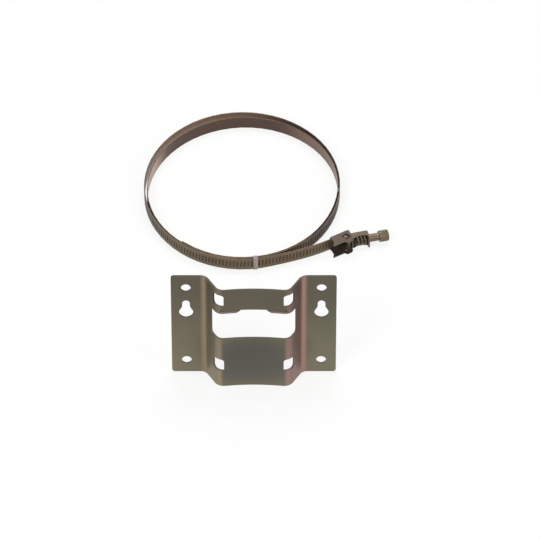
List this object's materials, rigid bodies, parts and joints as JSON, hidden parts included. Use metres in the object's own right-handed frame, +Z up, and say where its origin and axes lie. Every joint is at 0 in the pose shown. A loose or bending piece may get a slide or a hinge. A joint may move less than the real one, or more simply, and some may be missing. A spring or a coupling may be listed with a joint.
{
  "type": "expansion vessel bracket",
  "caption": "Pressed steel wall bracket with a coiled racked strap and a swivelling worm clamp, for holding a round expansion vessel.",
  "frame": {"origin": "centre of the four round wall holes, on the wall plane", "axes": "+X to the right along the wall, +Y into the wall, +Z up; the plate stands on its lower edge and the strap lies on the same level behind it"},
  "size_m": [0.2331, 0.3814, 0.115],
  "materials": {
    "plate_steel": "yellow passivated zinc, fine brushed grain",
    "strap_steel": "passivated zinc, satin",
    "tie_plastic": "clear strip, milky",
    "saddle_steel": "passivated zinc, satin",
    "carrier_steel": "passivated zinc, satin",
    "screw_steel": "yellow passivated zinc"
  },
  "bodies": {
    "root": {"wall_plate": "plate_steel", "strap_band": "strap_steel", "coil_tie": "tie_plastic", "clamp_saddle": "saddle_steel"},
    "carrier": {"swivel_carrier": "carrier_steel"},
    "screw": {"worm_screw": "screw_steel"}
  },
  "joints": [
    {"name": "swivel", "type": "hinge", "parent": "root", "child": "carrier", "pos_m": [0.086, 0.17058, -0.0501], "axis": [0, 0, 1], "range_deg": [-43, 17]},
    {"name": "screw_turn", "type": "hinge", "parent": "carrier", "child": "screw", "pos_m": [0.086, 0.17058, -0.0501], "axis": [0.9613, 0.2756, 0], "continuous": true}
  ]
}
